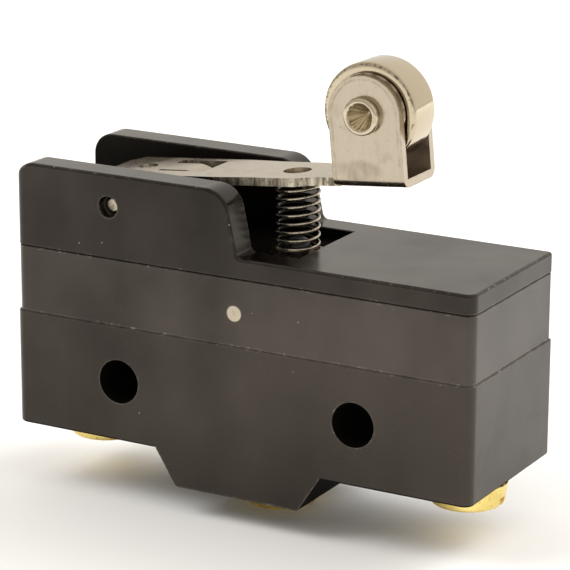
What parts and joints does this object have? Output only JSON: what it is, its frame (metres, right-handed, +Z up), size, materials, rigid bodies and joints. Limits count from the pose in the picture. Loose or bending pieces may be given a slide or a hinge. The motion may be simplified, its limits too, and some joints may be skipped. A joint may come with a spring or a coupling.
{
  "type": "limit switch",
  "caption": "Basic limit switch in a dark moulded case with a short sprung roller lever on a hinge bracket, screw terminals below and through holes for mounting.",
  "frame": {"origin": "midway between the two mounting holes, on the middle plane of the case", "axes": "+X along the case towards the roller, +Y from the front face to the back face, +Z up towards the lever, with the terminals below"},
  "size_m": [0.0492, 0.0174, 0.0447],
  "materials": {
    "moulding": "moulded thermoset, semi-gloss",
    "plated_steel": "nickel-plated, satin",
    "spring_wire": "drawn wire",
    "plunger_plastic": "moulded",
    "terminal_brass": "bright",
    "washer_steel": "zinc-plated",
    "contact_silver": "silver alloy",
    "blade_copper": "beryllium copper strip"
  },
  "bodies": {
    "housing": {"base_housing": "moulding", "cover_housing": "moulding", "lever_bracket": "moulding", "hinge_pin": "plated_steel", "front_cover_pin": "plated_steel", "back_cover_pin": "plated_steel", "common_terminal": "terminal_brass", "no_terminal": "terminal_brass", "nc_terminal": "terminal_brass", "common_screw": "terminal_brass", "no_screw": "terminal_brass", "nc_screw": "terminal_brass", "common_washer": "washer_steel", "no_washer": "washer_steel", "nc_washer": "washer_steel", "no_contact": "contact_silver", "nc_contact": "contact_silver", "blade_anchor": "terminal_brass", "anchor_rivet_left": "terminal_brass", "anchor_rivet_right": "terminal_brass"},
    "lever": {"lever": "plated_steel", "roller_axle": "plated_steel"},
    "roller": {"roller": "plated_steel"},
    "plunger": {"plunger": "plunger_plastic", "spring_seat": "plated_steel", "return_spring": "spring_wire"},
    "blade": {"snap_blade": "blade_copper", "moving_contact": "contact_silver"}
  },
  "joints": [
    {"name": "lever_pivot", "type": "hinge", "parent": "housing", "child": "lever", "pos_m": [-0.01377, 0, 0.01715], "axis": [0, 1, 0], "range_deg": [0, 10.8], "stiffness_Nm_per_rad": 0.12, "springref_deg": -6.88, "deforming": ["return_spring"]},
    {"name": "roller_spin", "type": "hinge", "parent": "lever", "child": "roller", "pos_m": [0.01049, 0, 0.02772], "axis": [0, 1, 0], "continuous": true},
    {"name": "plunger_slide", "type": "slide", "parent": "housing", "child": "plunger", "axis": [0, 0, -1], "range_m": [0, 0.00036]},
    {"name": "blade_rock", "type": "hinge", "parent": "housing", "child": "blade", "pos_m": [-0.0158, 0, 0.007], "axis": [0, 1, 0], "range_deg": [0, 1.25]}
  ],
  "couplings": [
    {"joint": "plunger_slide", "follows": "lever_pivot", "m_per_rad": 0.001855},
    {"joint": "blade_rock", "follows": "lever_pivot", "ratio": 0.11}
  ]
}
